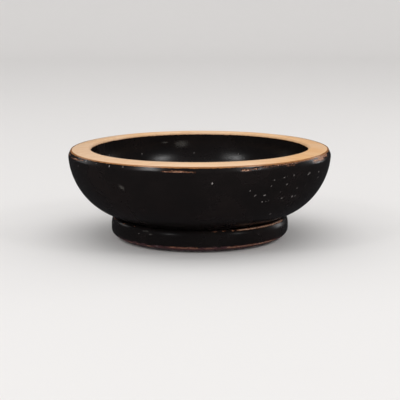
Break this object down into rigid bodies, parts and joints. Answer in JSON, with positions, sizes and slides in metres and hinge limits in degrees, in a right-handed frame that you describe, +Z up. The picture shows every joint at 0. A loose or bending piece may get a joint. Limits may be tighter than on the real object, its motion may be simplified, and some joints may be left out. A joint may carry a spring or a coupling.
{
  "type": "bowl",
  "caption": "Round dark lacquered wooden bowl with thick curved walls, a bare pale wood rim ring and a moulded foot ring with a recess below.",
  "frame": {"origin": "centre of the foot ring's standing face, on the table", "axes": "+Z up along the bowl's axis, out of its mouth; the bowl is round, so +X is any direction across it"},
  "size_m": [0.28, 0.28, 0.0975],
  "materials": {
    "black_lacquer": "satin black-brown lacquer",
    "bare_wood": "satin bare wood",
    "foot_lacquer": "satin black-brown lacquer, worn to wood on its edges"
  },
  "bodies": {
    "root": {"bowl_body": "black_lacquer", "rim_ring": "bare_wood", "foot_ring": "foot_lacquer"}
  },
  "joints": []
}
